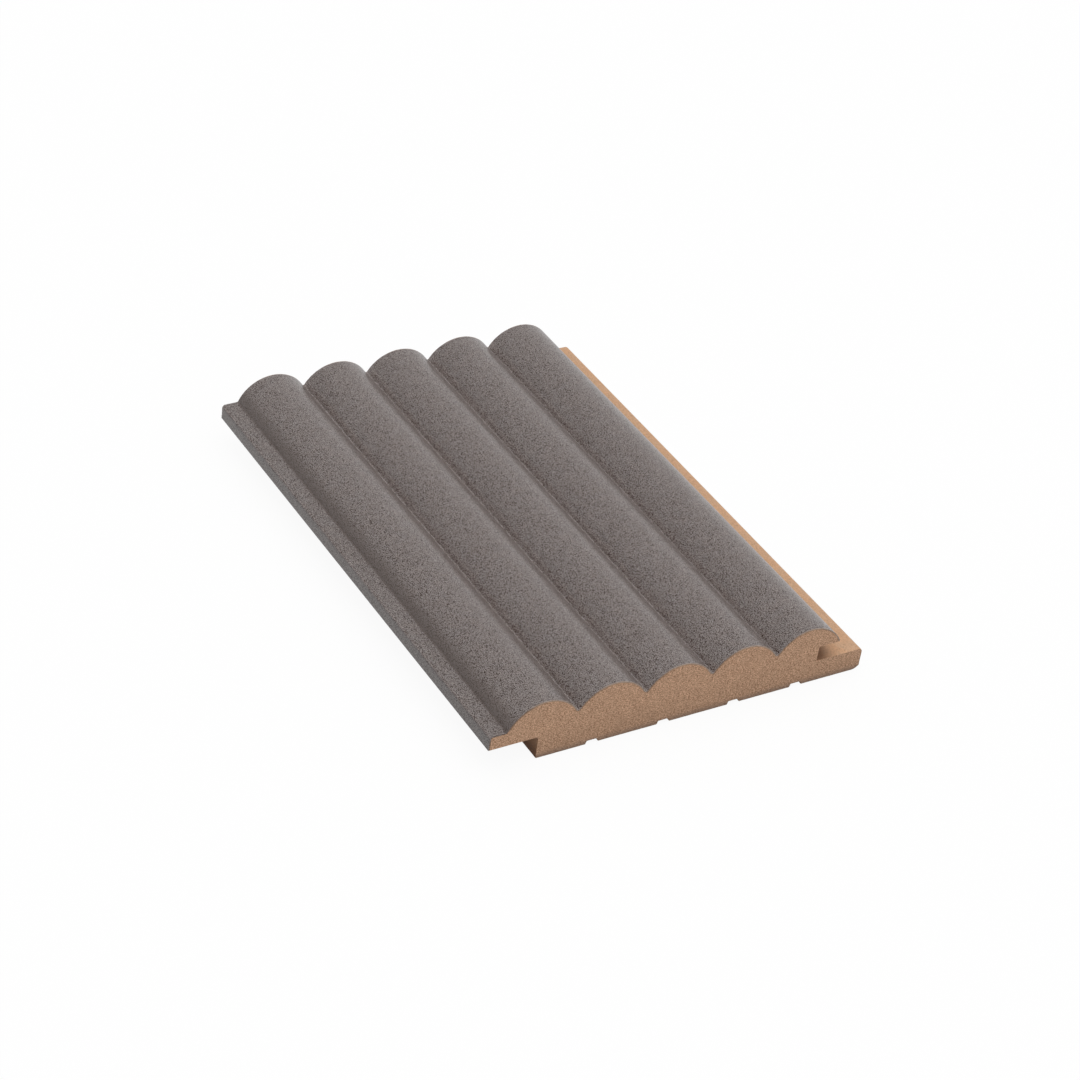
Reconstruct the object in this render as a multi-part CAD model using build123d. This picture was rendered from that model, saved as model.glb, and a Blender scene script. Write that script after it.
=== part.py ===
"""Short sample of a fluted MDF wall panel, wrapped in a thin decor film.

The panel lies on its back. X runs across the flutes from the lip to the tongue, Y runs
along the flutes and Z points out of the room side. The section is drawn with X from the
first edge of the fluted field and Z from the back face, and the finished pieces are then
moved so that the origin is at the middle of the back face.
"""

from build123d import *
import math
import os

# Stock, in millimetres
sample_length = 154.5
board_thickness = 17.7
film_thickness = 0.3

# Fluted field
flute_count = 5
flute_pitch = 20.0
flute_depth = 6.4
valley_radius = 0.7

# Edge joint: the next panel's lip slides into the groove over the tongue
tongue_thickness = 6.75
tongue_reach = 8.5
tongue_top_radius = 1.2
tongue_lead_width = 2.4
tongue_lead_height = 1.1
lip_thickness = 4.0
lip_reach = 4.8
lip_arris_radius = 0.7
joint_clearance = 0.15
tongue_end_gap = 0.7
lip_end_gap = 1.25
nose_height = 0.5
inner_corner_radius = 0.8
groove_corner_radius = 0.4
back_arris_radius = 0.4

# Relief grooves in the back: each lies this far from the crest above it
relief_shifts = (-4.25, -2.9, -1.4, -1.85)
relief_mouth_width = 3.8
relief_floor_width = 3.1
relief_depth = 1.0

# Levels of the joint above the back face
lip_underside = tongue_thickness + joint_clearance
lip_top = lip_underside + lip_thickness
groove_ceiling = lip_top + film_thickness + joint_clearance

# The film follows the board into the valleys, so its radius there is smaller by its thickness
film_valley_radius = valley_radius - film_thickness

# Places across the section
field_width = flute_count * flute_pitch
crest_places = [(flute + 0.5) * flute_pitch for flute in range(flute_count)]
valley_places = [flute * flute_pitch for flute in range(1, flute_count)]
lip_edge = -lip_reach
rebate_wall = tongue_reach + tongue_end_gap
groove_wall = field_width - lip_reach - film_thickness - lip_end_gap
tongue_edge = field_width + tongue_reach

# Arc of a flute through its crest and the two valleys beside it
flute_radius = ((flute_pitch / 2) ** 2 + flute_depth ** 2) / (2 * flute_depth)
flute_centre = board_thickness - flute_radius


def arc_half_width(radius, level):
    """Distance from a flute's middle to its arc, at a level above the back."""
    return math.sqrt(radius ** 2 - (level - flute_centre) ** 2)


def arc_level(radius, offset):
    """Level of a flute's arc, at a distance from the flute's middle."""
    return flute_centre + math.sqrt(radius ** 2 - offset ** 2)


nose_edge = crest_places[-1] + arc_half_width(flute_radius, groove_ceiling + nose_height)


def region(left, low, right, high):
    """Rectangle of the section between two corners."""
    return Pos((left + right) / 2, (low + high) / 2) * Rectangle(right - left, high - low)


def nearest(sketch, across, level):
    """Corner of the section that lies nearest to a point."""
    return sketch.vertices().sort_by_distance((across, level, 0))[0]


def face_section(skin, valley, arris, nose):
    """Flutes and lip, grown outwards by a skin and rounded at valleys, lip and nose."""
    left, right = lip_edge - skin, nose_edge + skin
    radius = flute_radius + skin
    flutes = Sketch()
    for crest in crest_places:
        flutes += Pos(crest, flute_centre) * Circle(radius)
    flutes &= region(left, lip_underside, right, board_thickness + skin)
    flutes -= region(groove_wall, lip_underside, right, groove_ceiling)
    face = flutes + region(left, lip_underside, rebate_wall, lip_top + skin)

    valley_level = arc_level(radius, flute_pitch / 2)
    crease = crest_places[0] - arc_half_width(radius, lip_top + skin)
    hollows = [nearest(face, place, valley_level) for place in valley_places]
    hollows.append(nearest(face, crease, lip_top + skin))
    face = fillet(hollows, valley)
    face = fillet(nearest(face, left, lip_top + skin), arris)
    if nose > 0:
        nose_level = arc_level(radius, right - crest_places[-1])
        face = fillet(nearest(face, right, nose_level), nose)
    return face


def relief_groove(centre):
    """Shallow groove in the back, with walls that lean in towards its floor."""
    mouth, floor = relief_mouth_width / 2, relief_floor_width / 2
    outline = Polyline(
        (centre - mouth, 0),
        (centre - floor, relief_depth),
        (centre + floor, relief_depth),
        (centre + mouth, 0),
        close=True,
    )
    return make_face(outline)


def tongue_lead():
    """Waste below the curve that leads the tongue into the next panel's rebate."""
    start = (tongue_edge - tongue_lead_width, 0)
    end = (tongue_edge, tongue_lead_height)
    curve = TangentArc(start, end, tangent=(1, 0))
    return make_face(curve + Polyline(end, (tongue_edge, 0), start))


def board_section():
    """Section of the moulded board with its rebate, groove, tongue and relief grooves."""
    section = face_section(0, valley_radius, lip_arris_radius, 0)
    section += region(rebate_wall, 0, groove_wall, lip_underside)
    section += region(groove_wall, 0, tongue_edge, tongue_thickness)
    section = fillet(nearest(section, rebate_wall, lip_underside), inner_corner_radius)
    section = fillet(nearest(section, rebate_wall, 0), back_arris_radius)
    groove_corners = [
        nearest(section, groove_wall, tongue_thickness),
        nearest(section, groove_wall, groove_ceiling),
    ]
    section = fillet(groove_corners, groove_corner_radius)
    section = fillet(nearest(section, tongue_edge, tongue_thickness), tongue_top_radius)
    section -= tongue_lead()
    for crest, shift in zip(crest_places[1:], relief_shifts):
        section -= relief_groove(crest + shift)
    return section


def film_section():
    """Section of the film on the lip's edge, the lip, the flutes and the nose."""
    outside = face_section(
        film_thickness,
        film_valley_radius,
        lip_arris_radius + film_thickness,
        film_thickness,
    )
    return outside - face_section(0, valley_radius, lip_arris_radius, 0)


def along_flutes(section):
    """Run a section along the flutes, with the origin at the middle of the back face."""
    middle = (lip_edge - film_thickness + tongue_edge) / 2
    upright = Plane.XZ * Pos(-middle, 0) * section
    return extrude(upright, amount=sample_length / 2, both=True)


def write(node, shape):
    """Write one piece under its name."""
    export_step(shape, os.path.join("parts", node + ".step"))


os.makedirs("parts", exist_ok=True)
write("mdf_board", along_flutes(board_section()))
write("decor_film", along_flutes(film_section()))
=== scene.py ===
"""Looks of a short sample of fluted MDF wall panel, wrapped in a thin decor film.

The section is drawn in millimetres, with X from the first edge of the fluted field and Z
from the back face, as the model has it. Its finer meshes stand for the model's pieces.
"""

import bmesh
import bpy
import math
from mathutils import Matrix, Vector, noise
from mathutils.geometry import tessellate_polygon


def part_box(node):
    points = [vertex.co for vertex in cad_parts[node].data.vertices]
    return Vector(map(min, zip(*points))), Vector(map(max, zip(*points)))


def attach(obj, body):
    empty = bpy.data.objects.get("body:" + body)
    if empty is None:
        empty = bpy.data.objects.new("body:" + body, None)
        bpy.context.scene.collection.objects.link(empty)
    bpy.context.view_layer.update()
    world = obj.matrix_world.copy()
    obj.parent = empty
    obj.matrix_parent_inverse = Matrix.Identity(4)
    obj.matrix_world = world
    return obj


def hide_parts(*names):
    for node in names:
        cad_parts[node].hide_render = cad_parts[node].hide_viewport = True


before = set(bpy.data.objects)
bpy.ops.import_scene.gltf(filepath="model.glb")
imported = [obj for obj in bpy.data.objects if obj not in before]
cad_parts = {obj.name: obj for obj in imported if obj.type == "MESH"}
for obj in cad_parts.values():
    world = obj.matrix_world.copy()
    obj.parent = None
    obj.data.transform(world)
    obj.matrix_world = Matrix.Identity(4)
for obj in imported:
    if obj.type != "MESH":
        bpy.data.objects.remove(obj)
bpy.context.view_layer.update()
board_low, board_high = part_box("mdf_board")

MM = 0.001

# Section, in millimetres
film_thickness = 0.3
board_thickness = 17.7
flute_count = 5
flute_pitch = 20.0
flute_depth = 6.4
valley_radius = 0.7
tongue_thickness = 6.75
tongue_reach = 8.5
tongue_top_radius = 1.2
tongue_lead_width = 2.4
tongue_lead_height = 1.1
lip_thickness = 4.0
lip_reach = 4.8
lip_arris_radius = 0.7
joint_clearance = 0.15
tongue_end_gap = 0.7
lip_end_gap = 1.25
nose_height = 0.5
inner_corner_radius = 0.8
groove_corner_radius = 0.4
back_arris_radius = 0.4
relief_shifts = (-4.25, -2.9, -1.4, -1.85)
relief_mouth_width = 3.8
relief_floor_width = 3.1
relief_depth = 1.0

# Levels and places of the section
film_valley_radius = valley_radius - film_thickness
lip_underside = tongue_thickness + joint_clearance
lip_top = lip_underside + lip_thickness
groove_ceiling = lip_top + film_thickness + joint_clearance
field_width = flute_count * flute_pitch
crest_places = [(flute + 0.5) * flute_pitch for flute in range(flute_count)]
lip_edge = -lip_reach
film_edge = lip_edge - film_thickness
rebate_wall = tongue_reach + tongue_end_gap
groove_wall = field_width - lip_reach - film_thickness - lip_end_gap
tongue_edge = field_width + tongue_reach
flute_radius = ((flute_pitch / 2) ** 2 + flute_depth ** 2) / (2 * flute_depth)
flute_centre = board_thickness - flute_radius
nose_level = groove_ceiling + nose_height
nose_edge = crest_places[-1] + math.sqrt(flute_radius ** 2 - (nose_level - flute_centre) ** 2)
middle = (film_edge + tongue_edge) / 2
near_end = board_low.y / MM
far_end = board_high.y / MM

# Wear of the sawn ends: softened arrises of the board, and film cut a little short, each with
# its least and most, and the length over which it varies
arris_wear = (0.02, 0.09)
arris_wear_run = 1.3
film_setback = (0.01, 0.12)
lip_film_setback = (0.02, 0.22)
film_setback_run = 0.9

# The same spot of the section always has the same wear: this picks the slice of the noise
noise_slice = 3.7

# Film: pitch of its speckle, and the painted highlight along the valleys: how much lighter it makes
# the film, and where it starts and is full, aside from the middle of a flute
speckle_pitch = 0.22
valley_painted_highlight = 0.25
highlight_after_crest = (8.9, 9.8)
highlight_before_crest = (-8.2, -9.2)
highlight_margin = 5

# Fineness of the meshes
arc_step = math.radians(2.5)
corner_step = math.radians(15)
lead_step = math.radians(6)
board_stretch = 1.2
film_stretch = 0.8
end_stations = (0.2, 0.8, 2.0, 4.5)
end_zone = 9.0
even_stations = 24

# Faces that look down from below this level are the sanded back, with its relief grooves
back_level = 1.6

# Tones of the film and of the painted shade in its crease, and of what the saw and the glue have
# left on the cut edge, with painted light and shade there
film_dark_dot = (0.0245, 0.0066, 0.0007)
film_light_dots = ((0.390, 0.336, 0.317), (0.369, 0.332, 0.323))
film_crease_painted_shade = (0.07, 0.045, 0.035)
dust_and_painted_light_tone = (0.5, 0.35, 0.25)
glue_and_painted_shade_tone = (0.16, 0.11, 0.08)

# Tones of the board where it is sawn, moulded or sanded, a tone for the back edge of the sawn ends
# that is partly painted shade, and the painted shade of the rebate and the groove
sawn_tones = ((0.28, 0.14, 0.073), (0.92, 0.598, 0.402))
sawn_fleck_tone = (0.26, 0.15, 0.09)
sawn_rim_and_painted_shade_tone = (0.2, 0.15, 0.125)
moulded_tones = ((0.57, 0.362, 0.228), (0.60, 0.352, 0.205))
moulded_fleck_tone = (0.3, 0.18, 0.11)
recess_painted_shade_tone = (0.15, 0.066, 0.03)
sanded_tones = ((0.50, 0.33, 0.215), (0.54, 0.335, 0.2))


def arc(centre, radius, start, end, step=corner_step):
    """Points of an arc from one angle to another, with both ends."""
    count = max(2, math.ceil(abs(end - start) / step))
    points = []
    for index in range(count + 1):
        angle = start + (end - start) * index / count
        points.append((centre[0] + radius * math.cos(angle), centre[1] + radius * math.sin(angle)))
    return points


def toward(centre, point):
    """Angle of a point seen from a centre."""
    return math.atan2(point[1] - centre[1], point[0] - centre[0])


def face_path(skin, valley, arris):
    """Outline from the lip's lower edge over the lip and the flutes to the groove's ceiling."""
    radius = flute_radius + skin
    left, top = lip_edge - skin, lip_top + skin
    points = [(left, lip_underside)]
    points += arc((left + arris, top - arris), arris, math.pi, math.pi / 2)

    # Crease between the lip and the first flute
    first = (crest_places[0], flute_centre)
    reach = radius + valley
    rise = top + valley - flute_centre
    crease = (first[0] - math.sqrt(reach ** 2 - rise ** 2), top + valley)
    points += arc(crease, valley, -math.pi / 2, toward(crease, first))
    begin = toward(first, crease)

    # Flutes, each with the rounded valley that follows it
    valley_level = flute_centre + math.sqrt(reach ** 2 - (flute_pitch / 2) ** 2)
    nose = (nose_edge, nose_level)
    for flute, across in enumerate(crest_places):
        centre = (across, flute_centre)
        if flute < flute_count - 1:
            hollow = (across + flute_pitch / 2, valley_level)
            following = (across + flute_pitch, flute_centre)
            points += arc(centre, radius, begin, toward(centre, hollow), arc_step)
            low, high = toward(hollow, centre), toward(hollow, following)
            points += arc(hollow, valley, low + 2 * math.pi, high + 2 * math.pi)[1:-1]
            begin = toward(following, hollow)
        else:
            end = toward(centre, nose)
            points += arc(centre, radius, begin, end, arc_step)
            if skin:
                points += arc(nose, skin, end, 0)[1:]
    points.append((nose_edge + skin, groove_ceiling))
    return points


def raw_path():
    """Outline of the raw board from the groove's ceiling round the back to the lip's lower edge."""
    quarter = math.pi / 2
    small, corner = groove_corner_radius, tongue_top_radius
    points = arc((groove_wall + small, groove_ceiling - small), small, quarter, math.pi)
    points += arc((groove_wall + small, tongue_thickness + small), small, math.pi, 3 * quarter)
    points += arc((tongue_edge - corner, tongue_thickness - corner), corner, quarter, 0)
    lead_radius = (tongue_lead_width ** 2 + tongue_lead_height ** 2) / (2 * tongue_lead_height)
    lead_centre = (tongue_edge - tongue_lead_width, lead_radius)
    lead_start = toward(lead_centre, (tongue_edge, tongue_lead_height))
    points += arc(lead_centre, lead_radius, lead_start, -quarter, lead_step)
    mouth, floor = relief_mouth_width / 2, relief_floor_width / 2
    for crest, shift in reversed(list(zip(crest_places[1:], relief_shifts))):
        centre = crest + shift
        points += [(centre + mouth, 0), (centre + floor, relief_depth)]
        points += [(centre - floor, relief_depth), (centre - mouth, 0)]
    small, corner = back_arris_radius, inner_corner_radius
    points += arc((rebate_wall + small, small), small, 3 * quarter, math.pi)
    points += arc((rebate_wall - corner, lip_underside - corner), corner, 0, quarter)
    return points


def densify(path, longest):
    """Outline with more points on its straight stretches, none longer than a given length."""
    points = []
    for (x0, z0), (x1, z1) in zip(path, path[1:]):
        count = max(1, math.ceil(math.hypot(x1 - x0, z1 - z0) / longest))
        for index in range(count):
            part = index / count
            points.append((x0 + (x1 - x0) * part, z0 + (z1 - z0) * part))
    points.append(path[-1])
    return points


def chance(x, z, size, span):
    """Smooth irregular value within a span, for a spot of the section."""
    share = 0.5 + 0.5 * noise.noise(Vector((x / size, z / size, noise_slice)))
    return span[0] + (span[1] - span[0]) * min(1, max(0, share))


def inset(path, amounts):
    """Closed clockwise outline, each point moved inwards by its own amount."""
    moved = []
    for index, (x, z) in enumerate(path):
        before, after = path[index - 1], path[(index + 1) % len(path)]
        run = Vector((after[0] - before[0], after[1] - before[1])).normalized()
        moved.append((x + run.y * amounts[index], z - run.x * amounts[index]))
    return moved


def place(x, y, z):
    """Point of the row frame, in metres, from the section's coordinates."""
    return Vector(((x - middle) * MM, y * MM, z * MM))


def new_piece(name, mesh_data, node, materials):
    """Object in the scene that stands for a node of the model."""
    mesh = bpy.data.meshes.new(name)
    mesh_data.to_mesh(mesh)
    mesh_data.free()
    piece = bpy.data.objects.new(name, mesh)
    bpy.context.scene.collection.objects.link(piece)
    for material in materials:
        mesh.materials.append(material)
    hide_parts(node)
    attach(piece, "root")
    return piece


def length_stations():
    """Places along the flutes, closer together towards both ends."""
    start, end = near_end + end_zone, far_end - end_zone
    stations = [near_end + step for step in end_stations]
    stations += [start + (end - start) * index / even_stations for index in range(even_stations + 1)]
    stations += [far_end - step for step in reversed(end_stations)]
    return stations


def loft(rings):
    """Closed mesh through rings of equal length, with a triangulated cap at each end."""
    data = bmesh.new()
    made = [[data.verts.new(point) for point in ring] for ring in rings]
    size = len(rings[0])
    for first, second in zip(made, made[1:]):
        for index in range(size):
            after = (index + 1) % size
            face = data.faces.new((first[index], first[after], second[after], second[index]))
            face.smooth = True
    outline = [Vector((point.x, point.z, 0)) for point in rings[0]]
    for corners in tessellate_polygon([outline]):
        data.faces.new([made[0][index] for index in corners])
        data.faces.new([made[-1][index] for index in reversed(corners)])
    bmesh.ops.recalc_face_normals(data, faces=data.faces)
    return data


def mark_sharp(data, degrees):
    """Edges between faces that meet at a real corner are drawn sharp."""
    limit = math.radians(degrees)
    for edge in data.edges:
        if len(edge.link_faces) == 2 and edge.calc_face_angle(0) > limit:
            edge.smooth = False


def build_board(materials):
    """Raw board with softened sawn arrises; its faces are sawn, moulded or sanded."""
    path = densify(face_path(0, valley_radius, lip_arris_radius) + raw_path(), board_stretch)
    worn = inset(path, [chance(x, z, arris_wear_run, arris_wear) for x, z in path])
    rings = [[place(x, near_end, z) for x, z in worn]]
    rings += [[place(x, y, z) for x, z in path] for y in length_stations()]
    rings.append([place(x, far_end, z) for x, z in worn])
    data = loft(rings)
    for face in data.faces:
        if abs(face.normal.y) > 0.9:
            face.material_index = 0
            face.smooth = False
        elif face.normal.z < -0.5 and face.calc_center_median().z < back_level * MM:
            face.material_index = 2
        else:
            face.material_index = 1
    mark_sharp(data, 25)
    return new_piece("raw_board", data, "mdf_board", materials)


def build_film(material):
    """Wrapped film: a thin closed skin whose ends are cut a little unevenly."""
    arris = lip_arris_radius + film_thickness
    outer = densify(face_path(film_thickness, film_valley_radius, arris), film_stretch)
    inner = densify(face_path(0, valley_radius, lip_arris_radius), film_stretch)
    path = outer + inner[::-1]
    setbacks = []
    for x, z in path:
        span = lip_film_setback if x < 0 else film_setback
        setbacks.append(chance(x, z, film_setback_run, span))
    rings = [[place(x, near_end + back, z) for (x, z), back in zip(path, setbacks)]]
    rings += [[place(x, y, z) for x, z in path] for y in length_stations()[1:-1]]
    rings.append([place(x, far_end - back, z) for (x, z), back in zip(path, setbacks)])
    data = loft(rings)
    mark_sharp(data, 35)
    return new_piece("film_wrap", data, "decor_film", [material])


class Recipe:
    """Node tree of one material, with its places in millimetres: across and up in the section's
    coordinates, and along the flutes from the middle of the length."""

    def __init__(self, name, roughness, specular):
        self.material = bpy.data.materials.new(name)
        self.material.use_nodes = True
        self.tree = self.material.node_tree
        self.shader = self.tree.nodes["Principled BSDF"]
        self.shader.inputs["Roughness"].default_value = roughness
        self.shader.inputs["Specular IOR Level"].default_value = specular
        self.shader.inputs["IOR"].default_value = 1.5
        coordinates = self.tree.nodes.new("ShaderNodeTexCoord")
        self.spot = self.stretched(coordinates.outputs["Object"], (1 / MM,) * 3)
        split = self.tree.nodes.new("ShaderNodeSeparateXYZ")
        self.feed(self.spot, split.inputs[0])
        self.across = self.maths("ADD", split.outputs[0], middle)
        self.along = self.maths("ABSOLUTE", split.outputs[1])
        self.level = split.outputs[2]

    def feed(self, source, target):
        """Link an output to a socket, or set the socket where the source is a plain value."""
        if isinstance(source, bpy.types.NodeSocket):
            self.tree.links.new(source, target)
        elif isinstance(source, tuple) and len(source) < len(target.default_value):
            target.default_value = (*source, 1)
        else:
            target.default_value = source

    def maths(self, operation, first, second=0.0):
        """Sum, product or other operation on two values."""
        node = self.tree.nodes.new("ShaderNodeMath")
        node.operation = operation
        self.feed(first, node.inputs[0])
        self.feed(second, node.inputs[1])
        return node.outputs[0]

    def product(self, *values):
        """Product of several values."""
        total = values[0]
        for value in values[1:]:
            total = self.maths("MULTIPLY", total, value)
        return total

    def stretched(self, vector, factors):
        """Vector with each of its parts multiplied."""
        node = self.tree.nodes.new("ShaderNodeVectorMath")
        node.operation = "MULTIPLY"
        self.feed(vector, node.inputs[0])
        self.feed(factors, node.inputs[1])
        return node.outputs[0]

    def grain(self, size, detail=1.0, stretch=(1, 1, 1), roughness=0.5):
        """Noise whose cells have a size in millimetres, longer along a stretched axis."""
        node = self.tree.nodes.new("ShaderNodeTexNoise")
        factors = tuple(1 / (size * part) for part in stretch)
        self.feed(self.stretched(self.spot, factors), node.inputs["Vector"])
        node.inputs["Scale"].default_value = 1
        node.inputs["Detail"].default_value = detail
        node.inputs["Roughness"].default_value = roughness
        return node.outputs[0]

    def dots(self, size):
        """Evenly spread soft dots with a pitch in millimetres: 1 at their middles, 0 between."""
        node = self.tree.nodes.new("ShaderNodeTexVoronoi")
        node.inputs["Scale"].default_value = 1
        self.feed(self.stretched(self.spot, (1 / size,) * 3), node.inputs["Vector"])
        return self.even(node.outputs["Distance"], 0.2, 0.7, 1.0, 0.0)

    def span(self, value, low, high, first=0.0, last=1.0):
        """Value carried smoothly from one range to another, and held at its ends."""
        node = self.tree.nodes.new("ShaderNodeMapRange")
        node.interpolation_type = "SMOOTHSTEP"
        for socket, given in zip(node.inputs, (value, low, high, first, last)):
            self.feed(given, socket)
        return node.outputs[0]

    def even(self, value, low, high, first=0.0, last=1.0):
        """Value carried evenly from one range to another, and held at its ends."""
        node = self.tree.nodes.new("ShaderNodeMapRange")
        for socket, given in zip(node.inputs, (value, low, high, first, last)):
            self.feed(given, socket)
        return node.outputs[0]

    def mixed(self, share, first, second):
        """Colour between two colours."""
        node = self.tree.nodes.new("ShaderNodeMix")
        node.data_type = "RGBA"
        self.feed(share, node.inputs[0])
        self.feed(first, node.inputs[6])
        self.feed(second, node.inputs[7])
        return node.outputs[2]

    def shaded(self, colour, factor):
        """Colour made darker or lighter by a factor."""
        node = self.tree.nodes.new("ShaderNodeVectorMath")
        node.operation = "SCALE"
        self.feed(colour, node.inputs[0])
        self.feed(factor, node.inputs["Scale"])
        return node.outputs[0]

    def relief(self, height, depth):
        """Fine relief of a depth in millimetres."""
        node = self.tree.nodes.new("ShaderNodeBump")
        node.inputs["Distance"].default_value = depth * MM
        self.feed(height, node.inputs["Height"])
        self.feed(node.outputs[0], self.shader.inputs["Normal"])

    def finish(self, colour, roughness=None):
        """Material with its colour and, where it varies, its roughness."""
        self.feed(colour, self.shader.inputs["Base Color"])
        if roughness is not None:
            self.feed(roughness, self.shader.inputs["Roughness"])
        return self.material


def film_recipe():
    """Matte grey decor film with a fine speckle, painted highlights along the valleys and over the
    lip's arris, and painted shade on the lip and in the crease.
    """
    recipe = Recipe("decor film", 0.3, 0.5)
    speckle = recipe.dots(speckle_pitch)
    mottle = recipe.even(recipe.grain(2.6, 2.0), 0.3, 0.7)
    tint = recipe.mixed(speckle, film_dark_dot, recipe.mixed(mottle, *film_light_dots))
    shade = recipe.even(mottle, 0.0, 1.0, 0.97, 1.03)

    # Painted highlight: lighter along the valleys, fading out near the field's outer edges
    aside = flute_aside(recipe)
    first, last = highlight_margin, field_width - highlight_margin
    field = recipe.product(recipe.span(recipe.across, first, first + 1),
                           recipe.span(recipe.across, last, last - 1))
    valley = recipe.maths("MAXIMUM", recipe.span(aside, *highlight_after_crest),
                          recipe.span(aside, *highlight_before_crest))
    valley_highlight_share = recipe.product(valley, field, valley_painted_highlight)
    shade = recipe.product(shade, recipe.maths("ADD", valley_highlight_share, 1))

    # Painted highlight: a light line where it is folded over the lip's arris; painted shade: the lip
    # a little darker, most on its side
    arris_highlight = recipe.product(recipe.span(recipe.across, film_edge + 0.01, film_edge + 0.15),
                          recipe.span(recipe.across, film_edge + 0.55, film_edge + 0.35, 0.0, 0.3))
    lip = recipe.product(recipe.span(recipe.across, film_edge + 0.4, film_edge + 0.05, 0.06, 0.2),
                         recipe.span(recipe.across, -0.6, -1.0))
    shade = recipe.product(shade, recipe.maths("SUBTRACT", recipe.maths("ADD", 1, arris_highlight), lip))

    # Painted shade: darker crease between the lip and the first flute
    crease = recipe.product(recipe.span(recipe.across, -0.95, -0.55, 0.0, 0.6),
                            recipe.span(recipe.across, 3.0, 0.2))
    colour = recipe.mixed(crease, recipe.shaded(tint, shade), film_crease_painted_shade)

    # Board dust that the saw has left on the cut edge, with painted light: least on the slopes that
    # face the lip, most on those that face away from it
    cut_edge = recipe.span(recipe.along, far_end - 0.3, far_end - 0.13)
    dust_and_painted_light = recipe.product(cut_edge, recipe.span(aside, -7.0, -1.0, 0.08, 0.6))
    colour = recipe.mixed(dust_and_painted_light, colour, dust_and_painted_light_tone)
    peel = recipe.product(recipe.grain(1.8, 1.0), 1.5)
    recipe.relief(recipe.maths("ADD", recipe.grain(0.36, 0.0), peel), 0.012)
    return recipe.finish(colour, recipe.even(speckle, 0.0, 1.0, 0.36, 0.26))


def flute_aside(recipe):
    """Distance across from the middle of the flute, in millimetres."""
    inside = recipe.maths("MAXIMUM", recipe.across, 0.01)
    inside = recipe.maths("MINIMUM", inside, field_width - 0.01)
    turn = recipe.maths("MODULO", inside, flute_pitch)
    return recipe.maths("SUBTRACT", turn, flute_pitch / 2)


def wrapped_depth(recipe, aside):
    """Depth in the board below its wrapped face, in millimetres."""
    rise = recipe.maths("SUBTRACT", recipe.level, flute_centre)
    squares = recipe.maths("ADD", recipe.maths("POWER", aside, 2), recipe.maths("POWER", rise, 2))
    below_flute = recipe.maths("SUBTRACT", flute_radius, recipe.maths("SQRT", squares))
    below_lip = recipe.maths("MINIMUM", recipe.maths("SUBTRACT", lip_top, recipe.level),
                             recipe.maths("SUBTRACT", recipe.across, lip_edge))
    on_lip = recipe.maths("LESS_THAN", recipe.across, -0.2)
    on_flute = recipe.maths("SUBTRACT", 1, on_lip)
    return recipe.maths("ADD", recipe.product(below_flute, on_flute),
                        recipe.product(below_lip, on_lip))


def sawn_recipe():
    """Sawn MDF: matted fibres and dark flecks, painted shade towards the back with a darker band
    along it that is partly tighter board, and glue with painted shade under the film.
    """
    recipe = Recipe("sawn end", 0.85, 0.25)
    fibre = recipe.grain(0.27, 1.0, (1.8, 1, 1), 0.6)
    fleck = recipe.grain(0.42, 1.0, (1.4, 1, 0.8))
    blotch = recipe.grain(1.5, 1.0, (1.4, 1, 1))
    colour = recipe.mixed(recipe.even(fibre, 0.28, 0.72), *sawn_tones)
    colour = recipe.shaded(colour, recipe.even(blotch, 0.3, 0.7, 0.95, 1.05))
    colour = recipe.mixed(recipe.even(fleck, 0.22, 0.34, 0.45, 0.0), colour, sawn_fleck_tone)
    # Painted shade: darker towards the back, over the lower half of the section
    colour = recipe.shaded(colour, recipe.even(recipe.level, 0.0, 9.0, 0.84, 1.0))
    # A darker band along the back: partly the board's tighter outer layer, partly painted shade
    rim_and_painted_shade = recipe.span(recipe.level, 0.2, 2.2, 0.55, 0.0)
    colour = recipe.mixed(rim_and_painted_shade, colour, sawn_rim_and_painted_shade_tone)

    # Glue line and film dragged over by the saw, with painted shade, most on the slopes that face
    # the lip
    aside = flute_aside(recipe)
    wander = recipe.even(recipe.grain(0.6), 0.3, 0.7, 0.3, 0.65)
    line = recipe.maths("SUBTRACT", 1, recipe.span(wrapped_depth(recipe, aside), 0.12, wander))
    upper = recipe.span(recipe.level, lip_underside + 0.4, lip_underside + 1.4)
    side = recipe.span(aside, -6.5, 1.0, 0.75, 0.0)
    off_tip = recipe.span(recipe.maths("ABSOLUTE", aside), 9.9, 9.3)
    colour = recipe.mixed(recipe.product(line, upper, side, off_tip), colour, glue_and_painted_shade_tone)
    recipe.relief(fibre, 0.06)
    return recipe.finish(colour)


def moulded_recipe():
    """Moulded MDF: fibres along the cutter's path, with painted shade in the rebate and in the
    groove under the nose.
    """
    recipe = Recipe("moulded board", 0.65, 0.2)
    fibre = recipe.grain(0.36, 2.0, (1, 1.5, 1), 0.6)
    fleck = recipe.grain(0.6, 1.0, (1, 1.5, 1))
    blotch = recipe.grain(2.4, 2.0, (1, 1.8, 1))
    colour = recipe.mixed(recipe.even(blotch, 0.3, 0.7), *moulded_tones)
    colour = recipe.shaded(colour, recipe.even(fibre, 0.25, 0.75, 0.8, 1.2))
    colour = recipe.mixed(recipe.even(fleck, 0.26, 0.38, 0.45, 0.0), colour, moulded_fleck_tone)

    # Painted shade in the rebate, darkest low down, and in the groove under the nose
    lower = recipe.span(recipe.level, 0.5, 6.0, 1.0, 0.44)
    by_rebate = recipe.span(recipe.across, rebate_wall + 0.2, rebate_wall + 1.5, 1.0, 0.0)
    into_groove = recipe.span(recipe.across, groove_wall + 1.5, nose_edge, 0.68, 0.0)
    groove_side = recipe.span(recipe.across, groove_wall - 1, groove_wall)
    recess_painted_shade = recipe.maths("MAXIMUM", recipe.product(lower, by_rebate),
                           recipe.product(into_groove, groove_side))
    colour = recipe.mixed(recess_painted_shade, colour, recess_painted_shade_tone)
    recipe.relief(fibre, 0.04)
    return recipe.finish(colour)


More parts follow.
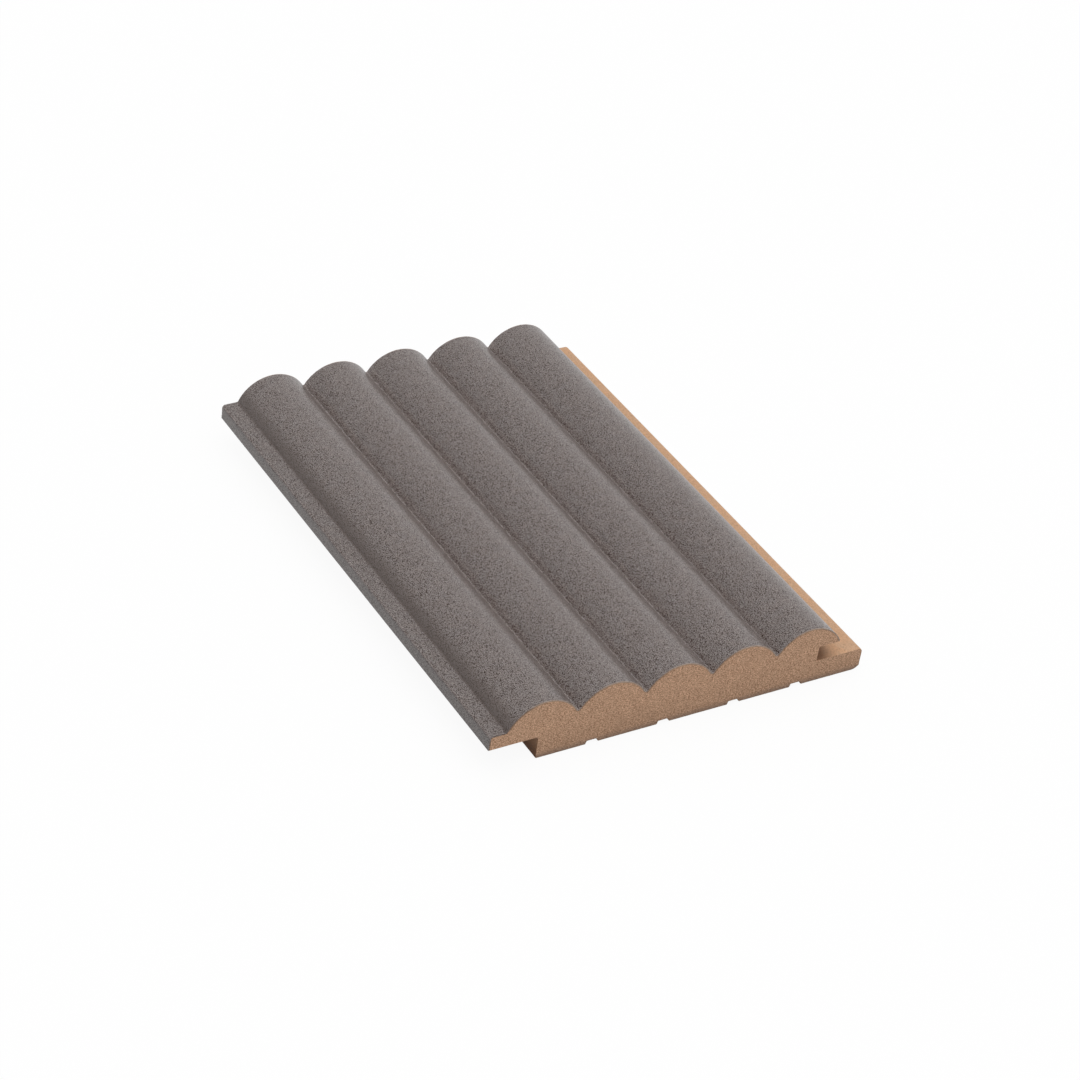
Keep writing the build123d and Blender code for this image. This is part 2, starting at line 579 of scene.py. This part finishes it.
def sanded_recipe():
    """Sanded back of the board: tight surface with faint scratches along the flutes, and painted
    shade on the floors of its relief grooves.
    """
    recipe = Recipe("sanded back", 0.7, 0.35)
    scratch = recipe.grain(0.3, 2.0, (1, 40, 1), 0.6)
    fibre = recipe.grain(0.45, 2.0, (1.2, 1.4, 1), 0.6)
    cloud = recipe.grain(7.0, 2.0)
    colour = recipe.mixed(recipe.even(cloud, 0.3, 0.7), *sanded_tones)
    # Painted shade: darker on the floors of the relief grooves
    groove = recipe.span(recipe.level, 0.1, 0.9, 1.0, 0.8)
    shade = recipe.product(recipe.even(fibre, 0.25, 0.75, 0.76, 1.24),
                           recipe.even(scratch, 0.3, 0.7, 0.93, 1.07), groove)
    colour = recipe.shaded(colour, shade)
    recipe.relief(recipe.maths("ADD", fibre, scratch), 0.02)
    return recipe.finish(colour)


build_board([sawn_recipe(), moulded_recipe(), sanded_recipe()])
build_film(film_recipe())

# Camera, as the photograph was taken: place and direction in metres, roll, and lens in mm
camera_position = Vector((-0.37835, -0.54510, 0.47931))
camera_forward = Vector((0.465986, 0.665898, -0.582613))
camera_roll = math.radians(8.604)
camera_lens = 99.93


def build_camera():
    """Camera that looks down on the panel from the near end."""
    data = bpy.data.cameras.new("camera")
    data.lens = camera_lens
    data.sensor_width = 36
    data.clip_start = 0.05
    data.clip_end = 20
    camera = bpy.data.objects.new("camera", data)
    bpy.context.scene.collection.objects.link(camera)
    level = camera_forward.to_track_quat("-Z", "Y").to_matrix().to_4x4()
    roll = Matrix.Rotation(camera_roll, 4, "Z")
    camera.matrix_world = Matrix.Translation(camera_position) @ level @ roll
    bpy.context.scene.camera = camera


# Studio: what a camera or a reflection sees of it is white, and its light is soft and plain
overhead_light = 1.65
end_fill = 0.64
right_fill = 0.2
floor_tone = 0.45
floor_tone_seen = 0.95
floor_glow = 0.93
floor_reach = 3
floor_gap = 0.0002


def seen_directly(tree):
    """Share of one for rays of the camera, reflections and glass, and none for the light."""
    path = tree.nodes.new("ShaderNodeLightPath")
    total = path.outputs["Is Camera Ray"]
    for name in ("Is Glossy Ray", "Is Transmission Ray"):
        node = tree.nodes.new("ShaderNodeMath")
        node.operation = "MAXIMUM"
        tree.links.new(total, node.inputs[0])
        tree.links.new(path.outputs[name], node.inputs[1])
        total = node.outputs[0]
    return total


def build_floor():
    """Plain pale floor, just clear of the panel, that keeps its soft shadow."""
    data = bmesh.new()
    bmesh.ops.create_grid(data, x_segments=1, y_segments=1, size=floor_reach)
    mesh = bpy.data.meshes.new("floor")
    data.to_mesh(mesh)
    data.free()
    floor = bpy.data.objects.new("floor", mesh)
    bpy.context.scene.collection.objects.link(floor)
    floor.location.z = -floor_gap
    material = bpy.data.materials.new("floor")
    material.use_nodes = True
    tree = material.node_tree
    tree.nodes.clear()
    output = tree.nodes.new("ShaderNodeOutputMaterial")
    surface = tree.nodes.new("ShaderNodeBsdfDiffuse")
    tone = tree.nodes.new("ShaderNodeMapRange")
    tone.inputs["To Min"].default_value = floor_tone
    tone.inputs["To Max"].default_value = floor_tone_seen
    glow = tree.nodes.new("ShaderNodeEmission")
    share = tree.nodes.new("ShaderNodeMath")
    share.operation = "MULTIPLY"
    share.inputs[1].default_value = floor_glow
    blend = tree.nodes.new("ShaderNodeMixShader")
    seen = seen_directly(tree)
    tree.links.new(seen, tone.inputs["Value"])
    tree.links.new(tone.outputs[0], surface.inputs["Color"])
    tree.links.new(seen, share.inputs[0])
    tree.links.new(share.outputs[0], blend.inputs[0])
    tree.links.new(surface.outputs[0], blend.inputs[1])
    tree.links.new(glow.outputs[0], blend.inputs[2])
    tree.links.new(blend.outputs[0], output.inputs["Surface"])
    mesh.materials.append(material)


def build_light():
    """Soft white surround, brightest overhead, with weak fills from both ends and the right."""
    world = bpy.data.worlds.new("studio")
    bpy.context.scene.world = world
    world.use_nodes = True
    tree = world.node_tree
    coordinates = tree.nodes.new("ShaderNodeTexCoord")
    split = tree.nodes.new("ShaderNodeSeparateXYZ")
    tree.links.new(coordinates.outputs["Generated"], split.inputs[0])

    def maths(operation, first, second):
        """Sum, product or other operation on two values."""
        node = tree.nodes.new("ShaderNodeMath")
        node.operation = operation
        for given, socket in zip((first, second), node.inputs):
            if isinstance(given, float):
                socket.default_value = given
            else:
                tree.links.new(given, socket)
        return node.outputs[0]

    right, along, up = split.outputs
    overhead = maths("POWER", maths("MAXIMUM", up, 0.0), 3.0)
    total = maths("MULTIPLY", overhead, overhead_light)
    total = maths("ADD", total, maths("MULTIPLY", maths("ABSOLUTE", along, 0.0), end_fill))
    total = maths("ADD", total, maths("MULTIPLY", maths("MAXIMUM", right, 0.0), right_fill))
    level = tree.nodes.new("ShaderNodeMapRange")
    level.inputs["To Max"].default_value = 1
    tree.links.new(seen_directly(tree), level.inputs["Value"])
    tree.links.new(total, level.inputs["To Min"])
    background = tree.nodes["Background"]
    background.inputs["Color"].default_value = (1, 1, 1, 1)
    tree.links.new(level.outputs[0], background.inputs["Strength"])


build_camera()
build_floor()
build_light()
bpy.context.scene.view_settings.view_transform = "Standard"
